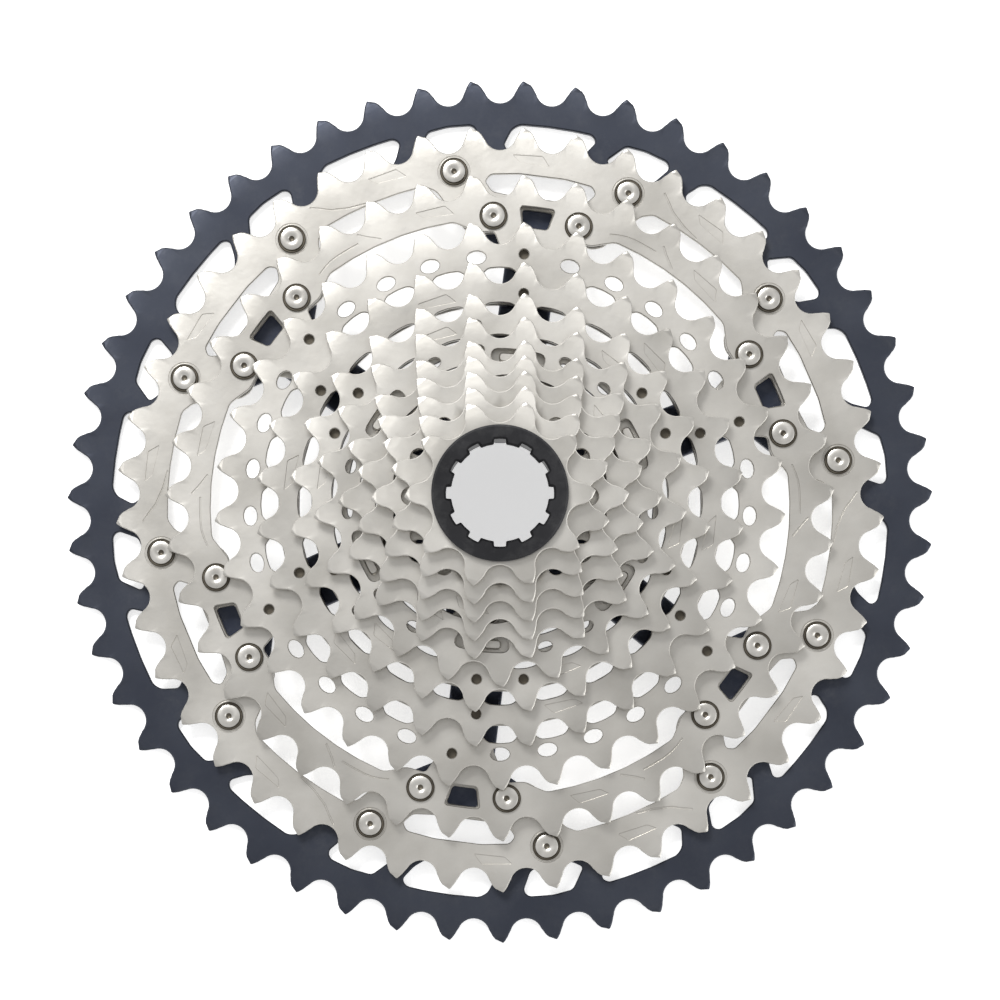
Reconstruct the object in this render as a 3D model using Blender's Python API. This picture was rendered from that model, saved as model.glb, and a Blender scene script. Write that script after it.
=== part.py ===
"""A 12-speed bicycle cassette, 10 to 51 teeth, built up along the wheel axle (+Z, outwards).

The back of the largest sprocket lies in z = 0. Seven sprockets are riveted to a spider and to each
other. The five small sprockets, two spacers and the lock ring are loose and slide off along +Z.
"""

from math import cos, degrees, pi, radians, sin

import bmesh
import bpy
from mathutils import Matrix

# Driving dimensions, in metres and degrees.
CHAIN_PITCH = 0.0127
ROLLER_RADIUS = 0.0039
TOOTH_HEIGHT = 0.0057
TIP_WIDTH = 0.0022
ROLLER_FLOOR = 0.0021
TEETH = (51, 45, 39, 33, 28, 24, 21, 18, 16, 14, 12, 10)
SPACING = 0.0036
STEEL_PLATE = 0.0016
LARGE_PLATE = 0.0022
GAP = 0.0001
ROUND = 36

ARMS = 6
ARM_PHASE = 22.8
FORK_ANGLE = 15.0
PAIR_ANGLE = 8.5
RIVET_TO_ROOT = 0.0046
RIVET_HEAD = 0.0034
RIVET_HEAD_HEIGHT = 0.0009
RIVET_SHANK = 0.0017
RIVET_FIT = 0.0001
RIVET_EDGE = 0.0004
RIM_WIDTH = 0.0052
SHORT_WINDOW = (4.7, 4.2)
LONG_WINDOW = (7.0, 7.6)
PAD_HALF = 2.2
LINK_HALF = 5.5

BEAM_45 = 0.0068
BRIDGE_45 = (12.5, 17.5)
BRIDGE_SLOT = (9.4, 8.6)
BRIDGE_SLOT_MARGIN = 0.0021
BRIDGE_SLOT_PAST_RIVETS = -0.0011
STUD_WALL = 0.0014
BEAM_39 = 0.0053
BRIDGE_39 = (12.0, 16.5)
TONGUE_HALF = 7.5
PAIR_WINDOW_HALF_HEIGHT = 0.0024
PAIR_WINDOW_HALF = 2.8

BOSS_RADIUS = 0.0021
BOSS_BELOW_ROOT = 0.0021
BOSS_EDGE = 0.0005
WINDOW_FROM_ARM = 6.0
WINDOW_SHARE = 0.34
WINDOW_PAST_ROOT = 0.0004
OVAL_RADIAL = 0.0032
OVAL_TANGENTIAL = 0.0046
OVAL_BELOW_ROOT = 0.0030

BRIDGE_24 = (13.0, 17.0)
RECESS_24 = 0.0046
BRIDGE_24_WIDTH = 0.0062
SLOT_HALF_WIDTH = 0.0020
SLOT_HALF_LENGTH = 0.0066
SLOT_BELOW_ROOT = 0.0044
SLOT_FIT = 0.0007
RING_21_WIDTH = 0.0062
RING_21_DIP = 0.0005
PETAL_HALVES = (7.0, 10.5, 18.0)

SPLINE_COUNT = 24
SPLINE_ROOT = 0.0169
SPLINE_TIP = 0.0154
SPLINE_TOOTH_SHARE = 0.42
SPLINE_FLANK = 0.9
SPLINE_KEY = 1.5
HUB_RADIUS = 0.0206
HUB_BACK = 0.0052
HUB_INSIDE = 0.0143
FLANGE_SCALLOP = 0.0045
FLANGE_SPIKE = 0.0013
FLANGE_HALVES = (9.0, 13.0, 18.0, 22.0)
PETAL_TO_HUB = 0.0011
PETAL_PAD_MARGIN = 0.0006
ARM_WIDTH = 0.0125
ARM_DEPTH = 0.0042
ARM_CLEAR = 0.0008
ARM_ROOT = 0.0032
PALM_MARGIN = 0.0010
PALM_BULGE = 0.6
FINGER_HALF = 2.0
CROTCH_HALF = 5.0
WRIST_LENGTH = 0.0050
HAND_DEPTH = 0.0030
TAB_HALVES = (1.4, 2.1, 1.3)
TAB_ROOT = 0.0016

LOOSE_BORE = 0.0140
WINDOW_18 = ((0.0244, 24.0), (0.0286, 19.0), (0.0296, 6.0), (0.0296, -13.0), (0.0293, -22.5), (0.0240, -20.0),
             (0.0203, -15.0), (0.0193, 2.0), (0.0196, 17.0))
WINDOW_18_FROM_TOP = -11.0
WINDOWS_18 = 6
HOLE_RADIUS_16 = 0.0027
HOLE_RADIUS_14 = 0.0020
HOLE_MARGIN = 0.0009
COLLAR_RADIUS = 0.0151
DOG_RADIUS = 0.0164
DOG_COUNT = 8
DOG_DEPTH = 0.0010
SPACER_OUTER = 0.0191
SPACER_INNER = 0.0172
REAR_COLLAR_RADIUS = 0.0184
FRONT_STEP_RADIUS = 0.0190
FRONT_STEP_DEPTH = 0.0006
LOCK_FLANGE_RADIUS = 0.0160
LOCK_FLANGE_HEIGHT = 0.0022
LOCK_SLEEVE_RADIUS = 0.0136
LOCK_SLEEVE_LENGTH = 0.0080
LOCK_BORE = 0.0114
LOCK_NOTCHES = 12
LOCK_NOTCH_DEPTH = 0.0012
LOCK_NOTCH_HALF = 6.5
LOCK_NOTCH_SHARE = 0.6
LOCK_CHAMFER = 0.0007

STEEL = ("satin_nickel_steel", (0.62, 0.60, 0.57), 0.32, 1.0)
NAVY = ("dark_anodised_aluminium", (0.045, 0.052, 0.075), 0.38, 0.8)
BLACK = ("black_anodised_aluminium", (0.02, 0.02, 0.022), 0.42, 0.6)
GREY = ("grey_anodised_aluminium", (0.21, 0.21, 0.22), 0.4, 0.8)
RIVET = ("rivet_steel", (0.66, 0.64, 0.61), 0.25, 1.0)


# Sizes that follow from the driving dimensions.

def pitch_radius(teeth):
    return CHAIN_PITCH / 2 / sin(pi / teeth)


def root_radius(teeth):
    return pitch_radius(teeth) - ROLLER_RADIUS


def tip_radius(teeth):
    return root_radius(teeth) + TOOTH_HEIGHT


def back_of(teeth):
    return SPACING * TEETH.index(teeth)


def thickness(teeth):
    return LARGE_PLATE if teeth == 51 else STEEL_PLATE


def front_of(teeth):
    return back_of(teeth) + thickness(teeth)


def boss_circle(teeth):
    """Where a plate is joined to the next larger one, just inside its tooth valleys."""
    return root_radius(teeth) - BOSS_BELOW_ROOT


def inner_radius(teeth, smaller):
    """A plate reaches in far enough to hold the bosses of its smaller neighbour."""
    return boss_circle(smaller) - BOSS_RADIUS - BOSS_EDGE


outer_rivet_circle = root_radius(45) - RIVET_TO_ROOT
inner_rivet_circle = root_radius(39) - RIVET_TO_ROOT
slot_circle = root_radius(21) - SLOT_BELOW_ROOT
petal_rivet_circle = (HUB_RADIUS + slot_circle - SLOT_HALF_WIDTH) / 2
petal_pad_reach = slot_circle - SLOT_HALF_WIDTH - PETAL_PAD_MARGIN
flange_scallop = HUB_RADIUS + FLANGE_SCALLOP
hub_front = back_of(18) - GAP
arm_angles = [ARM_PHASE + 360 / ARMS * k for k in range(ARMS)]
fork_angles = [a + side * FORK_ANGLE for a in arm_angles for side in (-1, 1)]
pair_angles = [a + side * PAIR_ANGLE for a in arm_angles for side in (-1, 1)]


# Outlines in the XY plane, as lists of (x, y).

def polar(radius, angle):
    return radius * cos(radians(angle)), radius * sin(radians(angle))


def circle(radius, segments, centre=(0.0, 0.0)):
    return [(centre[0] + radius * cos(2 * pi * k / segments),
             centre[1] + radius * sin(2 * pi * k / segments)) for k in range(segments)]


def polar_outline(points):
    return [polar(radius, angle) for radius, angle in points]


def tooth_ring(teeth):
    """Four points a tooth: the floor of the valley that a roller sits in, and the two ends of the tip."""
    root, tip = root_radius(teeth), tip_radius(teeth)
    step = 360 / teeth
    floor_angle = degrees(ROLLER_FLOOR / root)
    tip_angle = degrees(TIP_WIDTH / 2 / tip)
    points = []
    for k in range(teeth):
        valley = 90 + k * step
        points += [(root, valley - floor_angle), (root, valley + floor_angle),
                   (tip, valley + step / 2 - tip_angle), (tip, valley + step / 2 + tip_angle)]
    return polar_outline(points)


def spline_bore():
    """23 splines and, at the top, one that is wider and keys the piece on the freehub."""
    step = 360 / SPLINE_COUNT
    root, tip = SPLINE_ROOT, SPLINE_TIP
    points = []
    for k in range(SPLINE_COUNT):
        centre = 90 + k * step
        half = step * SPLINE_TOOTH_SHARE / 2 * (SPLINE_KEY if k == 0 else 1.0)
        points += [(root, centre - half - SPLINE_FLANK), (tip, centre - half), (tip, centre + half),
                   (root, centre + half + SPLINE_FLANK)]
    return polar_outline(points)


def arc_window(inner, outer, centre, half, end_half=None):
    """A window between two radii, its inner edge end_half wide; six points."""
    end_half = half if end_half is None else end_half
    return polar_outline([(outer, centre + half), (outer, centre), (outer, centre - half),
                          (inner, centre - end_half), (inner, centre), (inner, centre + end_half)])


def nearest_tooth(teeth, angle):
    """The tooth of a sprocket that lies nearest to an angle."""
    step = 360 / teeth
    return 90 + (round((angle - 90) / step - 0.5) + 0.5) * step


def round_holes(radius, hole_radius, angles, segments=8):
    return [circle(hole_radius, segments, polar(radius, a)) for a in angles]


# Solids.

def plate_mesh(loops, bottom, top):
    """A flat plate: the first loop is its rim and the others are its holes."""
    bm = bmesh.new()
    for loop in loops:
        verts = [bm.verts.new((x, y, bottom)) for x, y in loop]
        for k, vert in enumerate(verts):
            bm.edges.new((vert, verts[k - 1]))
    bmesh.ops.triangle_fill(bm, use_beauty=True, use_dissolve=False, edges=bm.edges[:], normal=(0, 0, 1))
    result = bmesh.ops.extrude_face_region(bm, geom=bm.faces[:])
    raised = [item for item in result["geom"] if isinstance(item, bmesh.types.BMVert)]
    bmesh.ops.translate(bm, verts=raised, vec=(0, 0, top - bottom))
    bmesh.ops.recalc_face_normals(bm, faces=bm.faces[:])
    return bm


def prism_mesh(outlines, bottom, top):
    """Separate prisms with flat ends, used to join or to cut."""
    bm = bmesh.new()
    for outline in outlines:
        face = bm.faces.new([bm.verts.new((x, y, bottom)) for x, y in outline])
        result = bmesh.ops.extrude_face_region(bm, geom=[face])
        raised = [item for item in result["geom"] if isinstance(item, bmesh.types.BMVert)]
        bmesh.ops.translate(bm, verts=raised, vec=(0, 0, top - bottom))
    bmesh.ops.recalc_face_normals(bm, faces=bm.faces[:])
    return bm


def turned_mesh(profile, segments, centre=(0.0, 0.0)):
    """Spins a closed (radius, z) profile about the Z axis, and welds its ends and its pole."""
    bm = bmesh.new()
    verts = [bm.verts.new((radius, 0, z)) for radius, z in profile]
    edges = [bm.edges.new((verts[k - 1], verts[k])) for k in range(len(verts))
             if profile[k][0] > 0 or profile[k - 1][0] > 0]
    bmesh.ops.spin(bm, geom=verts + edges, axis=(0, 0, 1), cent=(0, 0, 0), steps=segments,
                   angle=2 * pi, use_merge=True)
    bmesh.ops.remove_doubles(bm, verts=bm.verts[:], dist=1e-6)
    bmesh.ops.translate(bm, verts=bm.verts[:], vec=(*centre, 0))
    bmesh.ops.recalc_face_normals(bm, faces=bm.faces[:])
    return bm


def arm_mesh(side_profile, width, angle):
    """A bar with the given (radius, z) side view, centred on a radial line."""
    bm = bmesh.new()
    face = bm.faces.new([bm.verts.new((radius, -width / 2, z)) for radius, z in side_profile])
    result = bmesh.ops.extrude_face_region(bm, geom=[face])
    raised = [item for item in result["geom"] if isinstance(item, bmesh.types.BMVert)]
    bmesh.ops.translate(bm, verts=raised, vec=(0, width, 0))
    bmesh.ops.rotate(bm, verts=bm.verts[:], matrix=Matrix.Rotation(radians(angle), 3, "Z"))
    bmesh.ops.recalc_face_normals(bm, faces=bm.faces[:])
    return bm


materials = {}


def material(finish):
    name, colour, roughness, metallic = finish
    if name not in materials:
        made = bpy.data.materials.new(name)
        made.use_nodes = True
        shader = made.node_tree.nodes["Principled BSDF"]
        shader.inputs["Base Color"].default_value = (*colour, 1)
        shader.inputs["Roughness"].default_value = roughness
        shader.inputs["Metallic"].default_value = metallic
        materials[name] = made
    return materials[name]


def add(name, bm, finish=None, height=0.0):
    """Makes an object at a height on the axle."""
    mesh = bpy.data.meshes.new(name)
    bm.to_mesh(mesh)
    bm.free()
    made = bpy.data.objects.new(name, mesh)
    bpy.context.scene.collection.objects.link(made)
    made.location.z = height
    if finish:
        mesh.materials.append(material(finish))
    return made


def combine(target, operation, bm):
    """Joins a mesh to the target, or cuts it out, by a Boolean with a hidden tool object."""
    tool = add(f"tool_{target.name}_{len(target.modifiers)}", bm, height=target.location.z)
    tool.hide_render = True
    tool.display_type = "WIRE"
    boolean = target.modifiers.new(operation.lower(), "BOOLEAN")
    boolean.operation = operation
    boolean.object = tool


# The four small plates of the cluster, from 21 to 33 teeth, and what joins them.

def boss_angles(teeth):
    """Each arm has one boss, at the base of the tooth nearest to it; the 24-tooth plate has a pair."""
    if teeth == 24:
        half_step = 180 / teeth
        beside_arms = [a + side * half_step for a in arm_angles for side in (-1, 1)]
        return sorted({round(nearest_tooth(teeth, angle), 4) for angle in beside_arms})
    return [nearest_tooth(teeth, a) for a in arm_angles]


def valley_windows(smaller, inner, outer):
    """Windows in a plate, one at each valley of its smaller neighbour, apart from those on an arm."""
    step = 360 / smaller
    half = step * WINDOW_SHARE
    windows = []
    for k in range(smaller):
        centre = 90 + k * step
        from_arm = min(abs((centre - a + 180) % 360 - 180) for a in arm_angles)
        if from_arm > WINDOW_FROM_ARM:
            windows.append(polar_outline([(outer, centre + half * 0.75), (outer, centre - half * 0.75),
                                          (inner, centre - half), (inner, centre + half)]))
    return windows


def wavy_rim(narrow, wide, halves, tongue=None, half_tongue=0.0):
    """An inner rim that reaches in to the radius wide around each arm and stays at narrow between."""
    half_wide, half_narrow = halves
    points = []
    for a in arm_angles:
        points += [(narrow, a - half_narrow), (wide, a - half_wide)]
        if tongue:
            points += [(wide, a - half_tongue), (tongue, a - half_tongue * 0.7), (tongue, a),
                       (tongue, a + half_tongue * 0.7), (wide, a + half_tongue)]
        else:
            points += [(wide, a)]
        points += [(wide, a + half_wide), (narrow, a + half_narrow)]
        between = 360 / ARMS / 2
        points += [(narrow, a + (half_narrow + between) / 2), (narrow, a + between),
                   (narrow, a + between + (between - half_narrow) / 2)]
    return polar_outline(points)


def add_bosses(plate, teeth):
    """Short studs from the front of a plate up to its smaller neighbour."""
    smaller = TEETH[TEETH.index(teeth) + 1]
    overlap = STEEL_PLATE / 2
    bottom = thickness(teeth) - overlap
    top = SPACING - GAP
    studs = [circle(BOSS_RADIUS, 8, polar(boss_circle(smaller), a)) for a in boss_angles(smaller)]
    combine(plate, "UNION", prism_mesh(studs, bottom, top))


def make_sprocket(teeth, holes, finish=STEEL):
    loops = [tooth_ring(teeth)] + holes
    return add(f"sprocket_{teeth}t", plate_mesh(loops, 0, thickness(teeth)), finish, back_of(teeth))


def make_51():
    """Its inner ring is narrow, with a pad at each rivet; short and long windows alternate outside it."""
    pad = outer_rivet_circle - RIVET_HEAD - RIVET_EDGE
    rim = []
    for a in fork_angles:
        rim += [(outer_rivet_circle, a - LINK_HALF), (pad, a - PAD_HALF), (pad, a + PAD_HALF),
                (outer_rivet_circle, a + LINK_HALF), (outer_rivet_circle, a + FORK_ANGLE)]
    inner = outer_rivet_circle + RIVET_HEAD + RIVET_EDGE
    outer = root_radius(51) - RIM_WIDTH
    windows = [arc_window(inner, outer, a, *SHORT_WINDOW) for a in fork_angles]
    windows += [arc_window(inner, outer, a + FORK_ANGLE, *LONG_WINDOW) for a in fork_angles]
    holes = round_holes(outer_rivet_circle, RIVET_SHANK + RIVET_FIT, fork_angles)
    return make_sprocket(51, [polar_outline(rim)] + windows + holes, NAVY)


def make_45():
    beam = root_radius(45) - BEAM_45
    arch = inner_rivet_circle - RIVET_HEAD - RIVET_EDGE
    rim = wavy_rim(beam, arch, BRIDGE_45)
    slot_inner = inner_rivet_circle + RIVET_HEAD + BRIDGE_SLOT_MARGIN
    slot_outer = outer_rivet_circle + BRIDGE_SLOT_PAST_RIVETS
    slots = [arc_window(slot_inner, slot_outer, a, *BRIDGE_SLOT) for a in arm_angles]
    rivets = round_holes(outer_rivet_circle, RIVET_SHANK + RIVET_FIT, fork_angles)
    rivets += round_holes(inner_rivet_circle, RIVET_SHANK + RIVET_FIT, pair_angles)
    plate = make_sprocket(45, [rim] + slots + rivets)
    studs = [circle(RIVET_SHANK + STUD_WALL, 8, polar(inner_rivet_circle, a)) for a in pair_angles]
    combine(plate, "UNION", prism_mesh(studs, STEEL_PLATE / 2, SPACING - GAP))
    bores = [circle(RIVET_SHANK + RIVET_FIT, 8, polar(inner_rivet_circle, a)) for a in pair_angles]
    combine(plate, "DIFFERENCE", prism_mesh(bores, -STEEL_PLATE, SPACING * 2))
    return plate


def make_39():
    beam = root_radius(39) - BEAM_39
    pad = inner_rivet_circle - RIVET_HEAD - RIVET_EDGE
    tongue = inner_radius(39, 33)
    rim = wavy_rim(beam, pad, BRIDGE_39, tongue, TONGUE_HALF)
    rivets = round_holes(inner_rivet_circle, RIVET_SHANK + RIVET_FIT, pair_angles)
    window_low = inner_rivet_circle - PAIR_WINDOW_HALF_HEIGHT
    window_high = inner_rivet_circle + PAIR_WINDOW_HALF_HEIGHT
    windows = [arc_window(window_low, window_high, a, PAIR_WINDOW_HALF) for a in arm_angles]
    plate = make_sprocket(39, [rim] + rivets + windows)
    add_bosses(plate, 39)
    return plate


def oval_holes(teeth):
    """A small hole at the base of each tooth, apart from the teeth that have a boss there."""
    radius = root_radius(teeth) - OVAL_BELOW_ROOT
    step = 360 / teeth
    half = degrees(OVAL_TANGENTIAL / 2 / radius)
    at_bosses = [round(a, 4) % 360 for a in boss_angles(teeth)]
    holes = []
    for k in range(teeth):
        centre = 90 + (k + 0.5) * step
        if round(centre, 4) % 360 not in at_bosses:
            holes.append(polar_outline([(radius, centre + half), (radius - OVAL_RADIAL / 2, centre + half / 2),
                                        (radius - OVAL_RADIAL / 2, centre - half / 2), (radius, centre - half),
                                        (radius + OVAL_RADIAL / 2, centre - half / 2),
                                        (radius + OVAL_RADIAL / 2, centre + half / 2)]))
    return holes


def make_middle_plate(teeth, smaller, with_ovals=False):
    inner = inner_radius(teeth, smaller)
    window_inner = root_radius(smaller) + WINDOW_PAST_ROOT
    window_outer = boss_circle(teeth) - BOSS_RADIUS - BOSS_EDGE
    windows = []
    if with_ovals:
        window_outer = root_radius(teeth) - OVAL_BELOW_ROOT - OVAL_RADIAL / 2 - BOSS_EDGE * 2
        windows = oval_holes(teeth)
    windows += valley_windows(smaller, window_inner, window_outer)
    plate = make_sprocket(teeth, [circle(inner, teeth + 12)] + windows)
    add_bosses(plate, teeth)
    return plate


def make_24():
    """Between the arms its rim keeps clear of the star flange; at the arms a tab enters the 21T slot."""
    tab = slot_circle - SLOT_HALF_WIDTH - BOSS_EDGE
    rim = wavy_rim(tab + RECESS_24, tab, BRIDGE_24)
    windows = valley_windows(21, tab + BRIDGE_24_WIDTH, boss_circle(24) - BOSS_RADIUS - BOSS_EDGE)
    plate = make_sprocket(24, [rim] + windows)
    bar_half = degrees((SLOT_HALF_LENGTH - SLOT_FIT) / slot_circle)
    bars = [arc_window(slot_circle - SLOT_HALF_WIDTH + SLOT_FIT, slot_circle + SLOT_HALF_WIDTH - SLOT_FIT,
                       a, bar_half) for a in arm_angles]
    combine(plate, "UNION", prism_mesh(bars, STEEL_PLATE / 2, SPACING + STEEL_PLATE * 0.6))
    return plate


def make_21():
    """Six petals reach in from the ring of teeth to the rivets on the star flange."""
    ring = root_radius(21) - RING_21_WIDTH
    petal_end = HUB_RADIUS + PETAL_TO_HUB
    end_half, rivet_half, ring_half = PETAL_HALVES
    points = []
    for a in arm_angles:
        points += [(ring, a - ring_half), (petal_rivet_circle, a - rivet_half), (petal_end, a - end_half),
                   (petal_end, a), (petal_end, a + end_half), (petal_rivet_circle, a + rivet_half),
                   (ring, a + ring_half), (ring + RING_21_DIP, a + 180 / ARMS)]
    slot_half = degrees(SLOT_HALF_LENGTH / slot_circle)
    slots = [arc_window(slot_circle - SLOT_HALF_WIDTH, slot_circle + SLOT_HALF_WIDTH, a, slot_half)
             for a in arm_angles]
    rivets = round_holes(petal_rivet_circle, RIVET_SHANK + RIVET_FIT, arm_angles)
    return make_sprocket(21, [polar_outline(points)] + slots + rivets)


# The spider: hub tube, star flange, sloping arms, hands and the fork tabs behind the 45T.

def make_spider():
    clear = 3 * GAP
    flange_top = back_of(21) - GAP
    flange_bottom = front_of(24) + GAP
    tube = [(HUB_INSIDE, hub_front), (HUB_RADIUS, hub_front), (HUB_RADIUS, HUB_BACK), (HUB_INSIDE, HUB_BACK)]
    spider = add("spider", turned_mesh(tube, ROUND), NAVY)
    pad_end, pad_side, spike, scallop = FLANGE_HALVES
    spike_reach = petal_pad_reach - FLANGE_SPIKE
    points = []
    for a in arm_angles:
        half_pad = [(flange_scallop, scallop), (spike_reach, spike), (petal_pad_reach, pad_side),
                    (petal_pad_reach, pad_end)]
        points += [(radius, a - angle) for radius, angle in half_pad]
        points += [(radius, a + angle) for radius, angle in reversed(half_pad)]
        points.append((flange_scallop, a + 180 / ARMS))
    combine(spider, "UNION", prism_mesh([polar_outline(points)], flange_bottom, flange_top))

    hand_top = back_of(45) - GAP
    hand_bottom = hand_top - HAND_DEPTH
    limits = [(slot_circle - SLOT_HALF_WIDTH - BOSS_EDGE, back_of(24)), (inner_radius(28, 24), back_of(28)),
              (inner_radius(33, 28), back_of(33)), (inner_radius(39, 33), back_of(39))]
    top_line = [(radius - ARM_CLEAR, height - clear) for radius, height in limits]
    bottom_line = [(radius - ARM_CLEAR, height - clear - ARM_DEPTH) for radius, height in limits[:3]]
    wrist = top_line[-1][0] + WRIST_LENGTH
    wrist_end = wrist + WRIST_LENGTH
    sunk_root = HUB_RADIUS - ARM_ROOT
    side = [(sunk_root, flange_bottom + GAP * 2), (HUB_RADIUS + ARM_ROOT, flange_bottom + GAP * 2)]
    side += top_line + [(wrist, hand_top - GAP), (wrist_end, hand_top - GAP * 2), (wrist_end, hand_bottom + GAP),
                        (wrist - WRIST_LENGTH, hand_bottom + GAP)]
    side += bottom_line[::-1] + [(sunk_root, back_of(28) - clear - ARM_DEPTH / 2)]
    for angle in arm_angles:
        combine(spider, "UNION", arm_mesh(side, ARM_WIDTH, angle))

    half_wrist = degrees(ARM_WIDTH / 2 / wrist)
    pad_half = PAIR_ANGLE + degrees(RIVET_HEAD / inner_rivet_circle)
    palm_end = outer_rivet_circle - RIVET_HEAD - PALM_MARGIN
    hands = []
    for a in arm_angles:
        half_hand = [(wrist, half_wrist), (inner_rivet_circle - RIVET_HEAD, pad_half),
                     (inner_rivet_circle, pad_half + PALM_BULGE), (palm_end, FORK_ANGLE + FINGER_HALF),
                     (palm_end, FORK_ANGLE - FINGER_HALF), (inner_rivet_circle + RIVET_HEAD, CROTCH_HALF)]
        hands.append(polar_outline([(radius, a - angle) for radius, angle in half_hand]
                                   + [(radius, a + angle) for radius, angle in reversed(half_hand)]))
    combine(spider, "UNION", prism_mesh(hands, hand_bottom, hand_top))
    tab_end = outer_rivet_circle + RIVET_HEAD
    root_half, pad_half, end_half = TAB_HALVES
    tabs = [polar_outline([(palm_end - TAB_ROOT, a - root_half), (palm_end - TAB_ROOT, a + root_half),
                           (outer_rivet_circle, a + pad_half), (tab_end, a + end_half),
                           (tab_end, a - end_half), (outer_rivet_circle, a - pad_half)]) for a in fork_angles]
    combine(spider, "UNION", prism_mesh(tabs, LARGE_PLATE + GAP, hand_top - GAP / 2))

    combine(spider, "DIFFERENCE", prism_mesh([spline_bore()], 0, hub_front + SPACING))
    rivets = round_holes(petal_rivet_circle, RIVET_SHANK + RIVET_FIT, arm_angles)
    combine(spider, "DIFFERENCE", prism_mesh(rivets, flange_bottom - ARM_DEPTH, hub_front))
    rivets = round_holes(outer_rivet_circle, RIVET_SHANK + RIVET_FIT, fork_angles)
    rivets += round_holes(inner_rivet_circle, RIVET_SHANK + RIVET_FIT, pair_angles)
    combine(spider, "DIFFERENCE", prism_mesh(rivets, -GAP, back_of(39)))


def make_rivets(name, radius, angles, seat, tail):
    """Headed pins: the head sits on the front plate and the shank ends inside the rear one."""
    for number, angle in enumerate(angles, 1):
        under_head = seat + GAP
        top = under_head + RIVET_HEAD_HEIGHT
        profile = [(0, top), (RIVET_HEAD, top), (RIVET_HEAD, under_head), (RIVET_SHANK, under_head),
                   (RIVET_SHANK, tail), (0, tail)]
        add(f"{name}_{number:02d}", turned_mesh(profile, 8, polar(radius, angle)), RIVET)


# The loose pieces.

def make_18():
    windows = []
    for k in range(WINDOWS_18):
        centre = 90 + WINDOW_18_FROM_TOP + 360 / WINDOWS_18 * k
        windows.append(polar_outline([(radius, centre + angle) for radius, angle in WINDOW_18]))
    return make_sprocket(18, [spline_bore()] + windows)


def tooth_angles(teeth):
    return [90 + (k + 0.5) * 360 / teeth for k in range(teeth)]


def make_16():
    """A hole behind every tooth, just outside the seat of the spacers."""
    middle = SPACER_OUTER + HOLE_MARGIN + HOLE_RADIUS_16
    return make_sprocket(16, [spline_bore()] + round_holes(middle, HOLE_RADIUS_16, tooth_angles(16)))


def make_14():
    """A hole behind every tooth, and a step in front that the collar of the 12T seats in."""
    middle = SPACER_OUTER + HOLE_RADIUS_14
    plate = make_sprocket(14, [spline_bore()] + round_holes(middle, HOLE_RADIUS_14, tooth_angles(14)))
    combine(plate, "DIFFERENCE", prism_mesh([circle(FRONT_STEP_RADIUS, ROUND)], STEEL_PLATE - FRONT_STEP_DEPTH,
                                            STEEL_PLATE * 2))
    return plate


def make_12():
    """A collar behind it seats in the step of the 14T; the recess in front takes the dogs of the 10T."""
    plate = add("sprocket_12t", prism_mesh([tooth_ring(12)], 0, STEEL_PLATE), STEEL, back_of(12))
    collar_back = front_of(14) - FRONT_STEP_DEPTH + GAP - back_of(12)
    combine(plate, "UNION", prism_mesh([circle(REAR_COLLAR_RADIUS, ROUND)], collar_back, STEEL_PLATE / 2))
    combine(plate, "DIFFERENCE", prism_mesh([spline_bore()], collar_back * 2, -0.0002))
    combine(plate, "DIFFERENCE", prism_mesh([circle(LOOSE_BORE, ROUND)], collar_back * 2, STEEL_PLATE * 2))
    combine(plate, "DIFFERENCE", prism_mesh([dog_ring(GAP * 1.5)], dog_floor() - GAP, STEEL_PLATE * 2))


def dog_floor():
    return STEEL_PLATE - DOG_DEPTH


def dog_ring(clearance):
    step = 360 / DOG_COUNT
    points = []
    for k in range(DOG_COUNT):
        centre = 90 + k * step
        half = step / 4 + degrees(clearance / DOG_RADIUS)
        outer, inner = DOG_RADIUS + clearance, COLLAR_RADIUS + clearance
        points += [(outer, centre - half), (outer, centre), (outer, centre + half),
                   (inner, centre + half + 1), (inner, centre + step / 2), (inner, centre + step - half - 1)]
    return polar_outline(points)


def make_10():
    plate = add("sprocket_10t", prism_mesh([tooth_ring(10)], 0, STEEL_PLATE), STEEL, back_of(10))
    dogs_bottom = -SPACING + dog_floor() + GAP
    dogs_top = -(SPACING - STEEL_PLATE) - GAP
    combine(plate, "UNION", prism_mesh([circle(COLLAR_RADIUS, ROUND)], dogs_bottom, STEEL_PLATE / 2))
    combine(plate, "UNION", prism_mesh([dog_ring(0)], dogs_bottom + GAP, dogs_top))
    combine(plate, "DIFFERENCE", prism_mesh([circle(LOOSE_BORE, ROUND)], dogs_bottom * 2, STEEL_PLATE * 2))


def make_spacer(name, rear, front):
    bottom, top = front_of(rear) + GAP, back_of(front) - GAP
    profile = [(SPACER_INNER, top), (SPACER_OUTER, top), (SPACER_OUTER, bottom), (SPACER_INNER, bottom)]
    add(name, turned_mesh(profile, ROUND), GREY)


def make_lock_ring():
    seat = front_of(10) + GAP
    front = seat + LOCK_FLANGE_HEIGHT
    profile = [(LOCK_BORE, front), (LOCK_FLANGE_RADIUS - LOCK_CHAMFER, front),
               (LOCK_FLANGE_RADIUS, front - LOCK_CHAMFER),
               (LOCK_FLANGE_RADIUS, seat), (LOCK_SLEEVE_RADIUS, seat), (LOCK_SLEEVE_RADIUS, seat - LOCK_SLEEVE_LENGTH),
               (LOCK_BORE, seat - LOCK_SLEEVE_LENGTH)]
    ring = add("lock_ring", turned_mesh(profile, ROUND), BLACK)
    notches = [arc_window(LOCK_BORE - LOCK_NOTCH_DEPTH, LOCK_BORE + LOCK_NOTCH_DEPTH, k * 360 / LOCK_NOTCHES,
                          LOCK_NOTCH_HALF) for k in range(LOCK_NOTCHES)]
    notch_end = seat - LOCK_SLEEVE_LENGTH * LOCK_NOTCH_SHARE
    combine(ring, "DIFFERENCE", prism_mesh(notches, notch_end, front + LOCK_FLANGE_HEIGHT))


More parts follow.
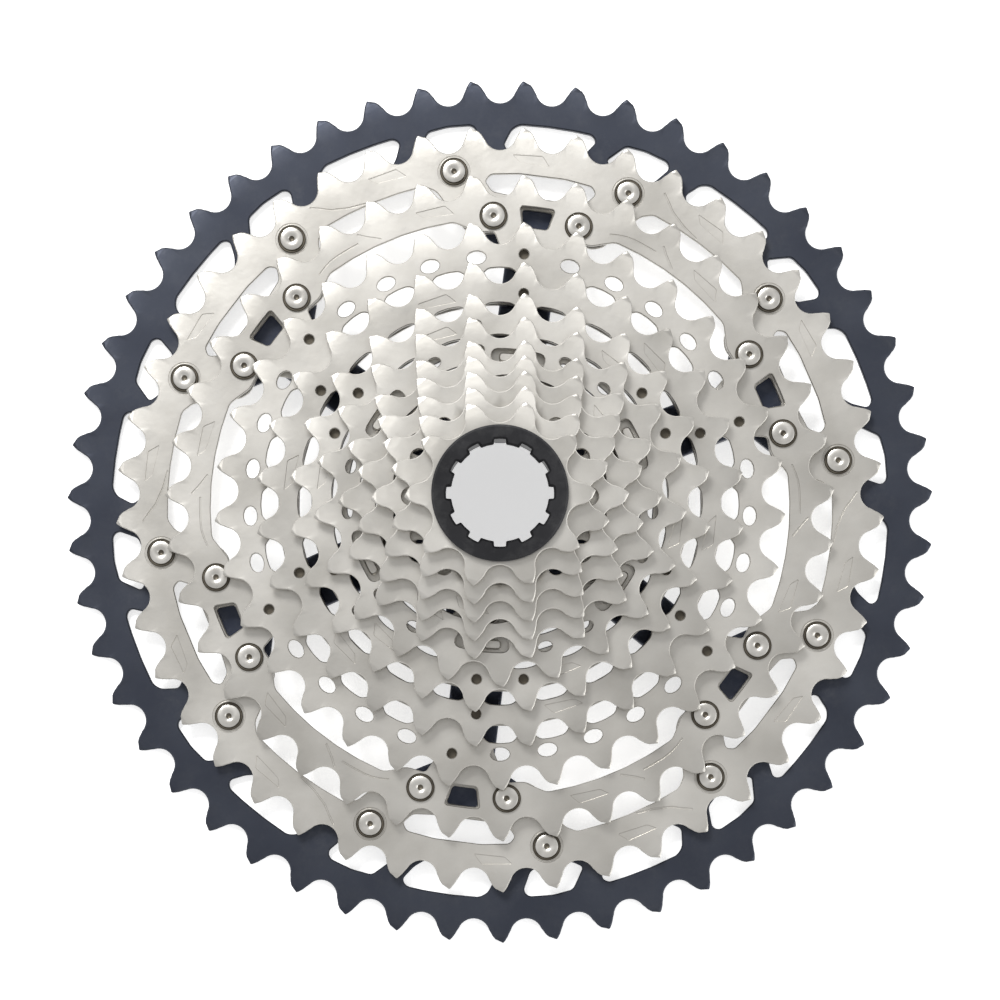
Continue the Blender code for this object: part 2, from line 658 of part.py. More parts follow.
def smooth(made):
    made.data.shade_smooth()
    made.data.set_sharp_from_angle(angle=radians(30))


for leftover in list(bpy.data.objects):
    bpy.data.objects.remove(leftover)

make_spider()
make_51()
make_45()
make_39()
make_middle_plate(33, 28, with_ovals=True)
make_middle_plate(28, 24)
make_24()
make_21()
make_rivets("outer_rivet", outer_rivet_circle, fork_angles, front_of(45), GAP)
make_rivets("inner_rivet", inner_rivet_circle, pair_angles, front_of(39), back_of(45) - GAP - HAND_DEPTH + GAP)
make_rivets("petal_rivet", petal_rivet_circle, arm_angles, front_of(21), front_of(24) + 2 * GAP)
make_18()
make_spacer("spacer_a", 18, 16)
make_16()
make_spacer("spacer_b", 16, 14)
make_14()
make_12()
make_10()
make_lock_ring()
for made in bpy.data.objects:
    smooth(made)
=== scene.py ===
"""A riveted and stacked 12-speed bicycle cassette, built up along the wheel axle, which is +Z."""

import functools
import math

import bmesh
import bpy
from mathutils import Matrix, Vector


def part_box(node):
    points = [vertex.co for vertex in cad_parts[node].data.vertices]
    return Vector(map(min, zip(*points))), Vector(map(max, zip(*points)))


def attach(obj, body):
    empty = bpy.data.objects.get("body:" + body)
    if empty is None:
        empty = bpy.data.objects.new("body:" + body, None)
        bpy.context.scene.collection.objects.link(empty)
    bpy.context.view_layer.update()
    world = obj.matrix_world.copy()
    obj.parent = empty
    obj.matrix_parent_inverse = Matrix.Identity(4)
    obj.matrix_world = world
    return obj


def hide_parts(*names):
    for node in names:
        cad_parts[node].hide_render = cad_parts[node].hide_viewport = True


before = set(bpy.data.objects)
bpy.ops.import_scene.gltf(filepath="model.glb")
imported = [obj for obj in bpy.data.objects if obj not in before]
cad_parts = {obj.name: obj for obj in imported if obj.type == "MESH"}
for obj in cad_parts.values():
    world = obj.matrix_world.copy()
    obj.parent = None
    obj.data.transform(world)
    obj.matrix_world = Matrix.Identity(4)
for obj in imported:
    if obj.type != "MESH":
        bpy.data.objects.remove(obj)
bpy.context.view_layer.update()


# ---- Spider -------------------------------------------------------------------------------------
# One forged and machined aluminium piece: the splined hub tube, a star flange for the 21-tooth
# sprocket, and six arms that drop back and fork to the large sprockets. Dark blue-grey anodised.

class Socket:
    """An output in a finish's node tree. Sums written on it become Math nodes."""

    def __init__(self, finish, output):
        self.finish = finish
        self.output = output

    def calculate(self, operation, first, second):
        return self.finish.add("ShaderNodeMath", {"operation": operation}, {0: first, 1: second})

    def __add__(self, other):
        return self.calculate("ADD", self, other)

    def __radd__(self, other):
        return self.calculate("ADD", other, self)

    def __sub__(self, other):
        return self.calculate("SUBTRACT", self, other)

    def __rsub__(self, other):
        return self.calculate("SUBTRACT", other, self)

    def __mul__(self, other):
        return self.calculate("MULTIPLY", self, other)

    def __rmul__(self, other):
        return self.calculate("MULTIPLY", other, self)


class Finish:
    """A surface finish: a material with one Principled shader and the nodes that vary it."""

    def __init__(self, name, metallic, **shader_values):
        self.material = bpy.data.materials.new(name)
        self.material.use_nodes = True
        self.tree = self.material.node_tree
        self.shader = self.tree.nodes["Principled BSDF"]
        self.shader.inputs["Metallic"].default_value = metallic
        for socket, value in shader_values.items():
            self.shader.inputs[socket.replace("_", " ")].default_value = value

    def add(self, kind, settings=None, inputs=None, output=0):
        """Adds a node of any type, with its settings first and then its sockets' values or links."""
        node = self.tree.nodes.new(kind)
        for name, value in (settings or {}).items():
            if name == "stops":
                for element, (place, colour) in zip(node.color_ramp.elements, value):
                    element.position = place
                    element.color = (*colour, 1)
            else:
                setattr(node, name, value)
        for name, value in (inputs or {}).items():
            self.feed(node.inputs[name], value)
        return Socket(self, node.outputs[output])

    def feed(self, target, value):
        if isinstance(value, Socket):
            self.tree.links.new(value.output, target)
        elif target.type == "RGBA":
            target.default_value = (*value, 1)
        else:
            target.default_value = value

    def set(self, name, value):
        self.feed(self.shader.inputs[name], value)

    def noise(self, place, size, detail=2.0, roughness=0.5):
        """Cloudy noise whose lumps are about size metres across."""
        return self.add("ShaderNodeTexNoise", {}, {"Vector": place, "Scale": 1 / size, "Detail": detail,
                                                   "Roughness": roughness})

    def ramp(self, value, low, high):
        """Stretches a value so that low becomes 0 and high becomes 1, and stops there."""
        limits = {"Value": value, "From Min": low, "From Max": high}
        return self.add("ShaderNodeMapRange", {"clamp": True}, limits)

    def blend(self, amount, first, second):
        return self.add("ShaderNodeMix", {"data_type": "RGBA"}, {0: amount, 6: first, 7: second}, 2)

    def bump(self, height, strength, distance, normal=None):
        inputs = {"Height": height, "Strength": strength, "Distance": distance}
        if normal:
            inputs["Normal"] = normal
        return self.add("ShaderNodeBump", {}, inputs)


def anodised_aluminium(name, deep, light, roughness):
    """Bead-blasted and anodised: a fine even grain, cloudy dye and paler rubbed corners."""
    finish = Finish(name, 0.75, Specular_IOR_Level=0.5)
    place = finish.add("ShaderNodeTexCoord", output=3)
    cloud = finish.ramp(finish.noise(place, 0.018, 3), 0.3, 0.7)
    corner = finish.ramp(finish.add("ShaderNodeNewGeometry", output=7), 0.53, 0.60)
    scuff = finish.ramp(finish.noise(place, 0.004, 4, 0.7), 0.45, 0.75)
    dye = finish.blend(cloud, deep, light)
    rubbed = tuple(0.55 * channel + 0.10 for channel in light)
    finish.set("Base Color", finish.blend(corner * scuff * 0.6, dye, rubbed))
    finish.set("Roughness", roughness + 0.08 * cloud - 0.06 * scuff)
    grain = finish.noise(place, 0.00022, 2)
    finish.set("Normal", finish.bump(grain, 0.16, 0.00006))
    return finish.material


navy = anodised_aluminium("dark_anodised_aluminium", (0.030, 0.036, 0.056), (0.040, 0.047, 0.070), 0.36)


def show(name, bm, material, node, body="cluster", sharp=32):
    """Turns a bmesh into the piece that stands for a CAD node, and joins it to its body."""
    mesh = bpy.data.meshes.new(name)
    bm.to_mesh(mesh)
    bm.free()
    for each in material if isinstance(material, list) else [material]:
        mesh.materials.append(each)
    mesh.shade_smooth()
    mesh.set_sharp_from_angle(angle=math.radians(sharp))
    piece = bpy.data.objects.new(name, mesh)
    bpy.context.scene.collection.objects.link(piece)
    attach(piece, body)
    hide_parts(node)
    return piece


def polar(radius, degrees):
    return Vector((radius * math.cos(math.radians(degrees)), radius * math.sin(math.radians(degrees)), 0))


def new_edges(bm, draw):
    """The edges that a drawing step adds."""
    before = set(bm.edges)
    draw()
    return [e for e in bm.edges if e not in before]


def outline(bm, points, rounding=0.0, segments=3):
    """Draws a closed line through (radius, degrees) points, with its corners rounded."""
    def draw():
        drawn = set(bm.verts)
        verts = [bm.verts.new(polar(radius, degrees)) for radius, degrees in points]
        for k, vert in enumerate(verts):
            bm.edges.new((verts[k - 1], vert))
        if rounding:
            bmesh.ops.bevel(bm, geom=verts, offset=rounding, segments=segments, profile=0.5,
                            affect="VERTICES", material=-1, clamp_overlap=True)
        bmesh.ops.remove_doubles(bm, verts=[v for v in bm.verts if v not in drawn], dist=2e-5)
    return new_edges(bm, draw)


def hole(bm, radius, place=Vector((0, 0, 0)), segments=20):
    return new_edges(bm, lambda: bmesh.ops.create_circle(bm, radius=radius, segments=segments,
                                                         matrix=Matrix.Translation(place)))


def fill(bm, edges):
    """Fills the area between closed lines."""
    bmesh.ops.triangle_fill(bm, edges=edges, use_beauty=True, use_dissolve=False, normal=(0, 0, 1))


def thicken(bm, back, front, edge=0.0002, shape=None):
    """Gives a flat sheet its thickness and chamfers its rims. A shape says how deep each point is cut."""
    half = (front - back) / 2
    sheet = bm.faces[:]
    bmesh.ops.inset_region(bm, faces=sheet, thickness=edge, use_boundary=True)
    top = {v for f in sheet for v in f.verts}
    for vert in bm.verts:
        vert.co.z = (half if vert in top else half - edge) * (shape(vert.co.xy.length) if shape else 1)
    walls = bmesh.ops.extrude_edge_only(bm, edges=[e for e in bm.edges if e.is_boundary])
    for item in walls["geom"]:
        if isinstance(item, bmesh.types.BMVert):
            item.co.z = 0
    bmesh.ops.mirror(bm, geom=bm.verts[:] + bm.edges[:] + bm.faces[:], axis="Z", merge_dist=1e-7)
    bmesh.ops.remove_doubles(bm, verts=bm.verts[:], dist=1e-7)
    bmesh.ops.recalc_face_normals(bm, faces=bm.faces[:])
    bmesh.ops.translate(bm, verts=bm.verts[:], vec=(0, 0, (back + front) / 2))
    return bm


def add_to(bm, other):
    """Puts another bmesh's shell beside the first one's."""
    passing = bpy.data.meshes.new("passing")
    other.to_mesh(passing)
    other.free()
    bm.from_mesh(passing)
    bpy.data.meshes.remove(passing)


spline_root = 0.0169
spline_tip = 0.0154
hub_radius = 0.0206
arm_width = 0.0125
gap = 0.0001
rivet_hole = 0.0018
first_arm, fork_angle, pair_angle = 22.8, 15, 8.5
arms = [first_arm + 60 * k for k in range(6)]
forks = [a + side * fork_angle for a in arms for side in (-1, 1)]
pairs = [a + side * pair_angle for a in arms for side in (-1, 1)]


def splined_bore(bm):
    """23 equal splines and a wide one at the top, which sets each piece's place on the freehub."""
    points = []
    for k in range(24):
        middle = 90 + 15 * k
        half = 3.15 * (1.5 if k == 0 else 1)
        points += [(spline_root, middle - half - 0.9), (spline_tip, middle - half),
                   (spline_tip, middle + half), (spline_root, middle + half + 0.9)]
    return outline(bm, points, 0.0002, 2)


@functools.cache
def level(node, side):
    """The height of a CAD node's back (0) or front (1)."""
    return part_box(node)[side][2]


def rivet_place(kind, number):
    low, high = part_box(f"{kind}_rivet_{number:02d}")
    return Vector(((low[0] + high[0]) / 2, (low[1] + high[1]) / 2, 0))


outer_circle = rivet_place("outer", 1).length
inner_circle = rivet_place("inner", 1).length
petal_circle = rivet_place("petal", 1).length
flange_back = level("sprocket_24t", 0) + 0.0017
flange_front = level("sprocket_21t", 0) - gap


def hub():
    """The tube, splined inside, with both ends chamfered."""
    bm = bmesh.new()
    fill(bm, hole(bm, hub_radius, segments=120) + splined_bore(bm))
    return thicken(bm, level("spider", 1) - 0.0199, level("spider", 1), 0.0004)


def star_flange():
    """Twelve points: a pad under each petal, with a round scallop between the pads."""
    bm = bmesh.new()
    points = []
    for a in arms:
        points += [(0.0308, a - 17.8), (0.0314, a - 13), (0.0317, a - 9), (0.0317, a), (0.0317, a + 9),
                   (0.0314, a + 13), (0.0308, a + 17.8)]
        points += [(0.0285, a + 19.4), (0.0268, a + 21.5), (0.0256, a + 25), (0.0251, a + 30),
                   (0.0256, a + 35), (0.0268, a + 38.5), (0.0285, a + 40.6)]
    rim = outline(bm, points)
    holes = [hole(bm, rivet_hole, polar(petal_circle, a)) for a in arms]
    fill(bm, rim + hole(bm, spline_root + 0.0004, segments=96) + [e for ring in holes for e in ring])
    return thicken(bm, flange_back, flange_front, 0.00035)


def arm(angle):
    """A bar that slopes from the flange back to the hand, stepped under the sprockets' bores."""
    hand_front = level("sprocket_45t", 0) - gap
    steps = [(0.0311, "sprocket_24t"), (0.0392, "sprocket_28t"), (0.0473, "sprocket_33t"),
             (0.0574, "sprocket_39t")]
    side = [(0.0175, flange_back + 0.0002), (0.0238, flange_back + 0.0002)]
    side += [(radius, level(node, 0) - 0.0003) for radius, node in steps]
    side += [(0.0624, hand_front - 0.0001), (0.0674, hand_front - 0.0002), (0.0674, hand_front - 0.0028),
             (0.0574, hand_front - 0.0028)]
    side += [(radius, level(node, 0) - 0.0045) for radius, node in reversed(steps[:3])]
    side += [(0.0175, level("sprocket_28t", 0) - 0.0024)]
    bm = bmesh.new()
    face = bm.faces.new([bm.verts.new((radius, -arm_width / 2, z)) for radius, z in side])
    raised = bmesh.ops.extrude_face_region(bm, geom=[face])["geom"]
    far_side = [v for v in raised if isinstance(v, bmesh.types.BMVert)]
    bmesh.ops.translate(bm, verts=far_side, vec=(0, arm_width, 0))
    bmesh.ops.recalc_face_normals(bm, faces=bm.faces[:])
    long_edges = [e for e in bm.edges if e.calc_face_angle(0) > 1.2]
    bmesh.ops.bevel(bm, geom=long_edges, offset=0.0008, segments=3, profile=0.5, affect="EDGES",
                    material=-1, clamp_overlap=True)
    bmesh.ops.rotate(bm, verts=bm.verts[:], matrix=Matrix.Rotation(math.radians(angle), 3, "Z"))
    return bm


def hand(angle):
    """The forked end of an arm, with the holes of the inner rivets."""
    front = level("sprocket_45t", 0) - gap
    half = [(0.0624, 5.8), (inner_circle - 0.0034, 11.2), (inner_circle + 0.0004, 12.2),
            (outer_circle - 0.0044, 17.0), (outer_circle - 0.0044, 13.0), (inner_circle + 0.0034, 5.0)]
    bm = bmesh.new()
    rim = outline(bm, [(radius, angle - turn) for radius, turn in half]
                  + [(radius, angle + turn) for radius, turn in reversed(half)], 0.0008)
    pair = [angle - pair_angle, angle + pair_angle]
    holes = [e for place in pair for e in hole(bm, rivet_hole, polar(inner_circle, place))]
    fill(bm, rim + holes)
    return thicken(bm, front - 0.0030, front, 0.0004)


def fingertip(angle):
    """The thin end of one fork finger, clamped between the two largest sprockets."""
    bm = bmesh.new()
    rim = outline(bm, [(outer_circle - 0.0060, angle - 1.4), (outer_circle - 0.0060, angle + 1.4),
                       (outer_circle, angle + 2.2), (outer_circle + 0.0034, angle + 1.3),
                       (outer_circle + 0.0034, angle - 1.3), (outer_circle, angle - 2.2)], 0.0009)
    fill(bm, rim + hole(bm, rivet_hole, polar(outer_circle, angle)))
    return thicken(bm, level("sprocket_51t", 1) + gap, level("sprocket_45t", 0) - gap, 0.0002)


forging = hub()
add_to(forging, star_flange())
for a in arms:
    add_to(forging, arm(a))
    add_to(forging, hand(a))
for a in forks:
    add_to(forging, fingertip(a))
show("spider_forging", forging, navy, "spider")


# ---- 51-tooth sprocket --------------------------------------------------------------------------
# The largest sprocket, milled from aluminium plate and anodised like the spider. Twenty-four
# windows lighten it: a short one over each rivet of the spider's forks and a long one between.

chain_pitch = 0.0127
seat_radius = 0.0039
tooth_height = 0.00568
steel_plate = 0.0016
large_plate = 0.0022


def pitch_radius(teeth):
    return chain_pitch / 2 / math.sin(math.pi / teeth)


def root_radius(teeth):
    return pitch_radius(teeth) - seat_radius


def toothed_rim(bm, teeth, lean=0.0007):
    """Draws the rim as a line: one roller's seat with half a tooth on each side, copied round.
    The tips lean: they are lower on the side that the chain leaves last."""
    centre = Vector((0, pitch_radius(teeth), 0))
    half_seat = math.radians(70)
    start = centre + seat_radius * Vector((-math.sin(half_seat), -math.cos(half_seat), 0))
    first = bm.verts.new(start)
    turn = bmesh.ops.spin(bm, geom=[first], cent=centre, axis=(0, 0, 1), angle=2 * half_seat, steps=12)
    last = [v for v in turn["geom_last"] if isinstance(v, bmesh.types.BMVert)][0]
    flank = [(0.0034, 0.0022), (0.0043, 0.0018), (0.0050, 0.00135), (0.0055, 0.0010), (tooth_height, 0.0007)]
    for side, vert in ((1, first), (-1, last)):
        middle = 90 + side * 180 / teeth
        across = side * Vector((-math.sin(math.radians(middle)), math.cos(math.radians(middle)), 0))
        sunk = lean if side > 0 else 0
        points = [polar(root_radius(teeth) + up - sunk * (up / tooth_height) ** 3, middle) - across * half
                  for up, half in flank]
        points.append(polar(root_radius(teeth) + tooth_height - lean / 2, middle))
        for point in points:
            following = bm.verts.new(point)
            bm.edges.new((vert, following))
            vert = following
    bmesh.ops.spin(bm, geom=bm.verts[:] + bm.edges[:], cent=(0, 0, 0), axis=(0, 0, 1),
                   angle=2 * math.pi * (teeth - 1) / teeth, steps=teeth - 1, use_duplicate=True)
    bmesh.ops.remove_doubles(bm, verts=bm.verts[:], dist=2e-6)
    return bm.edges[:]


def window(bm, inner, outer, middle, half_inner, half_outer, rounding=0.0009):
    """Draws a window between two radii whose long sides follow the ring."""
    points = [(outer, middle + half_outer * k / 2) for k in (-2, -1, 0, 1, 2)]
    points += [(inner, middle + half_inner * k / 2) for k in (2, 1, 0, -1, -2)]
    return outline(bm, points, rounding)


def toothed_plate(teeth, node, draw_inside, plate, edge=0.0002, press=-0.00022):
    """A sprocket's plate with its teeth, at the height of its CAD node. What draw_inside lists as
    pressed, closed areas of the plate, is sunk or raised in the front face."""
    bm = bmesh.new()
    marked = bm.faces.layers.int.new("pressed")
    rim = toothed_rim(bm, teeth)
    crest = hole(bm, root_radius(teeth) - 0.0004, segments=teeth * 3)
    fill(bm, rim + crest)
    lines, pressed = draw_inside(bm)
    fill(bm, crest + lines + [e for area in pressed for e in area])
    for area in pressed:
        before = set(bm.faces)
        fill(bm, area)
        for face in bm.faces:
            if face not in before:
                face[marked] = 1
    root = root_radius(teeth)
    back = level(node, 0)
    thicken(bm, back, back + plate, edge,
            lambda radius: 1 - 0.42 * min(max((radius - root - 0.0012) / (tooth_height - 0.0012), 0), 1))
    front = [f for f in bm.faces if f[marked] and f.normal.z > 0.9]
    if front:
        bmesh.ops.inset_region(bm, faces=front, thickness=0.00008, depth=press, use_boundary=True)
    return bm


def inside_51(bm):
    """Pads round the rivets, and slanting windows, narrow and wide in turn."""
    points = []
    for a in forks:
        pad = [(0.0001, -6.0), (0.0022, -3.2), (0.0037, -1.4), (0.0037, 1.4), (0.0022, 3.2), (0.0001, 6.0)]
        points += [(outer_circle - depth, a + turn) for depth, turn in pad]
        points += [(outer_circle, a + 10), (outer_circle, a + 15), (outer_circle, a + 20)]
    lines = outline(bm, points, 0.0008)
    rim = root_radius(51) - 0.0052
    for a in forks:
        lines += hole(bm, rivet_hole, polar(outer_circle, a))
        short = [(rim - 0.0003, 3.0), (rim + 0.0002, 0), (rim, -3.6), (rim - 0.0014, -4.3),
                 (0.0880, -3.0), (0.0866, 0), (0.0872, 3.6), (0.0890, 5.2)]
        lines += outline(bm, [(radius, a + turn) for radius, turn in short], 0.0008)
        long = [(rim - 0.0012, 5.4), (rim, 4.2), (rim, 0), (rim, -4), (rim, -6.7), (rim - 0.0014, -7.5),
                (0.0890, -6.2), (0.0868, -4.6), (0.0864, 0), (0.0866, 5.4), (0.0890, 6.6)]
        lines += outline(bm, [(radius, a + fork_angle + turn) for radius, turn in long], 0.0008)
    return lines, []


deep_navy = anodised_aluminium("large_sprocket_aluminium", (0.036, 0.041, 0.057), (0.047, 0.053, 0.070),
                               0.40)
show("sprocket_51t_plate", toothed_plate(51, "sprocket_51t", inside_51, large_plate, 0.0003), deep_navy,
     "sprocket_51t")


# ---- 45-tooth sprocket --------------------------------------------------------------------------
# Stamped steel, nickel plated. It is a narrow ring between the arms; over each arm a wide bridge
# reaches in to the inner rivets, with a long slot behind the teeth.

def nickel_steel(name, seed, painted_shade_factor=1.0, roughness=0.36):
    """Nickel over stamped steel: tumbled satin, warm and cloudy, with fine random scratches. The last
    argument darkens the whole plate as painted shade, so the plates are lit and shaded copies of one finish.
    """
    finish = Finish(name, 1.0)
    place = finish.add("ShaderNodeTexCoord", output=3)
    shift = {"Vector": place, "Location": (seed * 0.13, seed * 0.07, 0)}
    shifted = finish.add("ShaderNodeMapping", {}, shift)
    cloud = finish.ramp(finish.noise(shifted, 0.020, 3), 0.3, 0.7)
    smear = finish.ramp(finish.noise(shifted, 0.0045, 4, 0.65), 0.35, 0.75)
    dull = (0.520 * painted_shade_factor, 0.500 * painted_shade_factor, 0.460 * painted_shade_factor)
    clear = (0.690 * painted_shade_factor, 0.670 * painted_shade_factor, 0.630 * painted_shade_factor)
    finish.set("Base Color", finish.blend(0.65 * cloud + 0.35 * smear, dull, clear))
    finish.set("Roughness", roughness + 0.08 * cloud - 0.06 * smear)
    grain = finish.noise(place, 0.00018, 3)
    orange_peel = finish.noise(shifted, 0.0016, 2)
    soft = finish.bump(orange_peel, 0.16, 0.00012)
    finish.set("Normal", finish.bump(grain, 0.14, 0.00005, soft))
    return finish.material


def groove(bm, points, width=0.00045):
    """Draws a narrow closed strip along a path of (radius, degrees) points, to be pressed."""
    path = [polar(radius, turn) for radius, turn in points]
    near, far = [], []
    for k, point in enumerate(path):
        along = (path[min(k + 1, len(path) - 1)] - path[max(k - 1, 0)]).normalized()
        across = along.cross(Vector((0, 0, 1))) * width / 2
        near.append(point - across)
        far.append(point + across)
    return outline(bm, [(p.length, math.degrees(math.atan2(p.y, p.x))) for p in near + far[::-1]])


def ring_groove(bm, radius, place, width=0.0004):
    return hole(bm, radius, place, 32) + hole(bm, radius - width, place, 32)


def shift_ramp(bm, teeth, angle):
    """Draws a slanting patch at the base of a tooth, where the chain climbs. It is pressed in evenly."""
    root = root_radius(teeth)
    size = math.degrees(0.0030 / root)
    return outline(bm, [(root - 0.0010, angle + size), (root - 0.0009, angle - size * 1.5),
                        (root - 0.0034, angle - size * 2.2), (root - 0.0028, angle + size * 0.4)], 0.0004)


def tooth_near(teeth, degrees):
    step = 360 / teeth
    return 90 + (round((degrees - 90) / step - 0.5) + 0.5) * step


def stud(bm, radius, bore, place, low, high):
    """A short hollow stud that stands on one plate and ends just behind the next."""
    profile = [(bore, low), (radius, low), (radius, high), (bore, high), (bore, low)]
    add_to(bm, turned(profile, 20, place))


def turned(profile, steps, place=Vector((0, 0, 0))):
    """Spins a line of (radius, z) points about the axle's direction, then sets it in place."""
    bm = bmesh.new()
    verts = [bm.verts.new((radius, 0, z)) for radius, z in profile]
    edges = [bm.edges.new(pair) for pair in zip(verts, verts[1:])]
    bmesh.ops.spin(bm, geom=verts + edges, cent=(0, 0, 0), axis=(0, 0, 1), angle=2 * math.pi, steps=steps,
                   use_merge=True)
    bmesh.ops.remove_doubles(bm, verts=bm.verts[:], dist=1e-7)
    bmesh.ops.recalc_face_normals(bm, faces=bm.faces[:])
    bmesh.ops.translate(bm, verts=bm.verts[:], vec=place)
    return bm


def inside_45(bm):
    """The bridges, their slots, and a pressed line across the beam beside each bridge."""
    beam, arch = root_radius(45) - 0.0068, inner_circle - 0.0038
    points = []
    for a in arms:
        points += [(beam, a - 20.5), (beam - 0.0018, a - 18.6), (arch + 0.0014, a - 14.4)]
        points += [(arch, a + 12.5 * k / 3) for k in range(-3, 4)]
        points += [(arch + 0.0014, a + 14.4), (beam - 0.0018, a + 18.6), (beam, a + 20.5)]
        points += [(beam, a + 20.5 + 19 * k / 4) for k in range(1, 4)]
    lines = outline(bm, points, 0.0008)
    pressed = []
    for a in arms:
        slot = [(0.0812, 8.8), (0.0814, 4), (0.0814, -4), (0.0812, -8.8), (0.0796, -9.8), (0.0770, -8.6),
                (0.0760, -5), (0.0760, 5), (0.0770, 8.6), (0.0796, 9.8)]
        lines += outline(bm, [(radius, a + turn) for radius, turn in slot], 0.0007)
        lines += window(bm, inner_circle - 0.0022, inner_circle + 0.0022, a, 2.4, 3.0, 0.0008)
        pressed.append(groove(bm, [(0.0863, a - 20.4), (0.0850, a - 21.6), (0.0832, a - 23.2),
                                   (0.0816, a - 26.0), (0.0808, a - 29.0)]))
        pressed.append(shift_ramp(bm, 45, tooth_near(45, a + 30)))
        pressed.append(shift_ramp(bm, 45, tooth_near(45, a + 4)))
    for a in forks:
        lines += hole(bm, rivet_hole, polar(outer_circle, a))
        pressed.append(ring_groove(bm, 0.0040, polar(outer_circle, a)))
    for a in pairs:
        lines += hole(bm, rivet_hole, polar(inner_circle, a))
    return lines, pressed


plate_45 = toothed_plate(45, "sprocket_45t", inside_45, steel_plate)
for a in pairs:
    stud(plate_45, 0.0031, rivet_hole, polar(inner_circle, a), level("sprocket_45t", 0) + 0.0012,
         level("sprocket_39t", 0) - gap)
show("sprocket_45t_plate", plate_45, nickel_steel("nickel_steel_45t", 1), "sprocket_45t")


# ---- Outer rivets -------------------------------------------------------------------------------
# Twelve steel rivets with low turned heads, each through the 45-tooth sprocket, a finger of the
# spider's fork and the 51-tooth sprocket. The tail is closed flush in the back of the largest one.

rivet_head = 0.0034


def rivet_steel(name, low, high, roughness):
    """Drawn steel, turned, with a cloudy tone. With bright colours it gives the rivet heads. With dark
    colours it is painted shade, the dark of the rivets' grooves and dimples and of the studs' bores.
    """
    finish = Finish(name, 1.0)
    place = finish.add("ShaderNodeTexCoord", output=3)
    cloud = finish.ramp(finish.noise(place, 0.003, 3), 0.3, 0.7)
    finish.set("Base Color", finish.blend(cloud, low, high))
    finish.set("Roughness", roughness + 0.08 * cloud)
    finish.set("Normal", finish.bump(finish.noise(place, 0.0002, 2), 0.12, 0.00004))
    return finish.material


bright_rivet = rivet_steel("rivet_steel", (0.60, 0.58, 0.54), (0.72, 0.70, 0.66), 0.26)
# A near-black steel that paints the shade in the rivets' grooves and dimples and inside the studs.
painted_shade_steel = rivet_steel("rivet_painted_shade", (0.085, 0.075, 0.060), (0.14, 0.125, 0.10), 0.45)


def rivets(kind, count, groove_width=0.0004):
    """Headed pins at their CAD nodes: a flat head with a dimple, a groove round it and a lip. The dimple,
    the groove, the lip and the head's rim are painted near-black as shade.
    """
    for number in range(1, count + 1):
        node = f"{kind}_rivet_{number:02d}"
        low, high = level(node, 0), level(node, 1)
        seat = high - 0.0009
        face = rivet_head - 0.0002 - groove_width
        profile = [(0, high - 0.00045), (0.0003, high - 0.00044), (0.0007, high - 0.00022),
                   (0.0010, high - 0.00006), (0.0015, high), (face - 0.0004, high),
                   (face - 0.0001, high - 0.0001), (face, high - 0.0003),
                   (face + 0.0001, high - 0.0006), (rivet_head - 0.0002, high - 0.0006),
                   (rivet_head - 0.0001, high - 0.0004), (rivet_head, high - 0.0005), (rivet_head, seat),
                   (0.0017, seat), (0.0017, low + 0.00025), (0.00145, low), (0, low)]
        pin = turned(profile, 36, rivet_place(kind, number))
        middle = rivet_place(kind, number)
        for face_on_pin in pin.faces:
            centre = face_on_pin.calc_center_median()
            radius = (centre - middle).xy.length
            # The dimple, the groove, the lip and the head's rim get the near-black second material, which is
            # painted shade.
            painted_dark_face = centre.z > seat and (radius > face - 0.00005 or radius < 0.0006)
            face_on_pin.material_index = 1 if painted_dark_face else 0
        show(f"{kind}_rivet_pin_{number:02d}", pin, [bright_rivet, painted_shade_steel], node)


rivets("outer", 12)


# ---- 39-tooth sprocket --------------------------------------------------------------------------
# The same stamped steel. Over each arm it has a pad with two rivets and a tongue that carries the
# 33-tooth sprocket. Between the arms only a narrow beam with a pressed rib is left.

def studs_to(bm, teeth, smaller):
    """Hollow studs from this plate to its smaller neighbour's pin holes, each with a near-black plug inside
    that paints the shade of its bore.
    """
    low, high = level(f"sprocket_{teeth}t", 1), level(f"sprocket_{smaller}t", 0)
    for angle in pin_angles(smaller):
        place = polar(pin_circle(smaller), angle)
        stud(bm, 0.0021, pin_hole, place, low - 0.0004, high - 0.0001)
        # A near-black plug inside each stud: painted shade seen through the pin hole.
        plug = turned([(0, low), (pin_hole, low), (pin_hole, high - 0.0006), (0, high - 0.0006)], 20, place)
        for face in plug.faces:
            face.material_index = 1
        add_to(bm, plug)


pin_hole = 0.00120


def pin_circle(teeth):
    return root_radius(teeth) - 0.0021


def pin_angles(teeth):
    """One pin at each arm, in the base of the nearest tooth; the 24-tooth sprocket has two."""
    if teeth == 24:
        return sorted({round(tooth_near(24, a + side * 7.5), 3) for a in arms for side in (-1, 1)})
    return [tooth_near(teeth, a) for a in arms]


